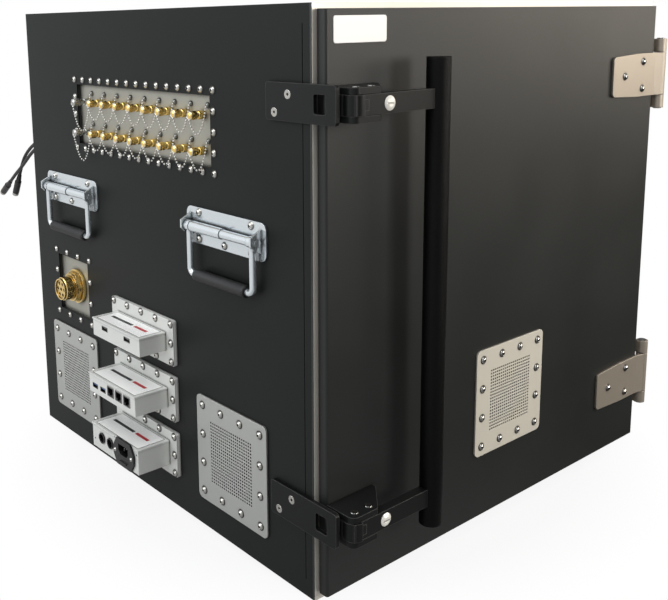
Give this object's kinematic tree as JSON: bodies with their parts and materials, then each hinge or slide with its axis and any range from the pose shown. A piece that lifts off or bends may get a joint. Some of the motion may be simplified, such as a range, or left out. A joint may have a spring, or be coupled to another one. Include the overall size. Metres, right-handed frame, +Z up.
{
  "type": "shielded test enclosure",
  "caption": "Cube bench enclosure with a hinged door on cam latches, a long pull bar, coaxial and filtered ports, a brass feedthrough, honeycomb vents and carrying handles.",
  "frame": {"origin": "on the bench, midway between the four feet", "axes": "+Z up, -Y towards the door, -X towards the connector side"},
  "size_m": [0.7271, 0.8882, 0.66],
  "materials": {
    "black_paint": "satin powder coat",
    "bare_steel": "bare satin stainless",
    "vent_steel": "matte bead-blasted",
    "honeycomb": "thin bright foil",
    "gasket": "metallised fabric over foam",
    "absorber": "carbon-loaded foam",
    "gold": "gold plated",
    "brass": "machined",
    "screw_steel": "bright stainless",
    "box_aluminium": "matte bead-blasted",
    "socket_steel": "tinned shell",
    "socket_black": "moulded",
    "board": "solder mask",
    "foot_rubber": "matte",
    "latch_black": "satin powder coat",
    "bar_black": "fine-textured powder coat",
    "hinge_nickel": "satin",
    "zinc": "bright zinc plate",
    "fan_plastic": "moulded",
    "guard_wire": "bright",
    "lead_black": "satin"
  },
  "bodies": {
    "cabinet": {"left_panel": "black_paint", "right_panel": "black_paint", "top_panel": "black_paint", "bottom_panel": "black_paint", "rear_panel": "black_paint", "front_frame": "bare_steel", "frame_gasket": "gasket", "wall_absorbers": "absorber", "interface_plates": "bare_steel", "coax_connectors": "gold", "coax_dust_caps": "gold", "dust_cap_screws": "screw_steel", "feedthrough_body": "brass", "feedthrough_nut": "brass", "left_vent_plates": "vent_steel", "vent_honeycombs": "honeycomb", "panel_screws": "screw_steel", "port_box_flanges": "box_aluminium", "video_box_housing": "box_aluminium", "data_box_housing": "box_aluminium", "power_box_housing": "box_aluminium", "video_sockets": "socket_steel", "usb_sockets": "socket_steel", "network_sockets": "socket_black", "dc_sockets": "socket_black", "mains_inlet": "socket_black", "filter_boards": "board", "feet": "foot_rubber", "latch_keepers": "latch_black", "hinge_frame_leaves": "hinge_nickel", "hinge_pins": "screw_steel", "hardware_screws": "screw_steel", "handle_plates": "zinc", "fan_housings": "fan_plastic", "fan_guards": "guard_wire", "upper_lead": "lead_black", "lower_lead": "lead_black", "upper_lead_socket": "lead_black", "lower_lead_socket": "lead_black", "lead_gland": "lead_black"},
    "door": {"door_skin": "black_paint", "door_inner_pan": "bare_steel", "door_absorber": "absorber", "door_vent_plate": "vent_steel", "door_honeycomb": "honeycomb", "door_screws": "screw_steel", "hinge_door_leaves": "hinge_nickel", "latch_brackets": "latch_black", "latch_pins": "screw_steel"},
    "latch_handle": {"latch_cams": "latch_black", "latch_arms": "latch_black", "handle_bar": "bar_black", "arm_screws": "screw_steel"},
    "left_front_carry_bail": {"left_front_bail": "zinc"},
    "left_rear_carry_bail": {"left_rear_bail": "zinc"},
    "right_front_carry_bail": {"right_front_bail": "zinc"},
    "right_rear_carry_bail": {"right_rear_bail": "zinc"},
    "upper_rotor": {"upper_fan_rotor": "fan_plastic"},
    "lower_rotor": {"lower_fan_rotor": "fan_plastic"},
    "drawer": {"fuse_drawer": "socket_black"}
  },
  "joints": [
    {"name": "door_swing", "type": "hinge", "parent": "cabinet", "child": "door", "pos_m": [0.331, -0.3355, 0.3365], "axis": [0, 0, 1], "range_deg": [0, 110]},
    {"name": "handle_pull", "type": "hinge", "parent": "door", "child": "latch_handle", "pos_m": [-0.307, -0.365, 0.337], "axis": [0, 0, 1], "range_deg": [-85, 0]},
    {"name": "upper_fan_spin", "type": "hinge", "parent": "cabinet", "child": "upper_rotor", "pos_m": [-0.21, 0.333, 0.48], "axis": [0, 1, 0], "continuous": true},
    {"name": "lower_fan_spin", "type": "hinge", "parent": "cabinet", "child": "lower_rotor", "pos_m": [-0.21, 0.333, 0.345], "axis": [0, 1, 0], "continuous": true},
    {"name": "fuse_drawer_slide", "type": "slide", "parent": "cabinet", "child": "drawer", "axis": [-1, 0, 0], "range_m": [0, 0.018]},
    {"name": "left_front_bail_swing", "type": "hinge", "parent": "cabinet", "child": "left_front_carry_bail", "pos_m": [-0.3345, -0.174, 0.404], "axis": [0, 1, 0], "range_deg": [0, 95]},
    {"name": "left_rear_bail_swing", "type": "hinge", "parent": "cabinet", "child": "left_rear_carry_bail", "pos_m": [-0.3345, 0.198, 0.404], "axis": [0, 1, 0], "range_deg": [0, 95]},
    {"name": "right_front_bail_swing", "type": "hinge", "parent": "cabinet", "child": "right_front_carry_bail", "pos_m": [0.3345, -0.174, 0.404], "axis": [0, -1, 0], "range_deg": [0, 95]},
    {"name": "right_rear_bail_swing", "type": "hinge", "parent": "cabinet", "child": "right_rear_carry_bail", "pos_m": [0.3345, 0.198, 0.404], "axis": [0, -1, 0], "range_deg": [0, 95]}
  ]
}
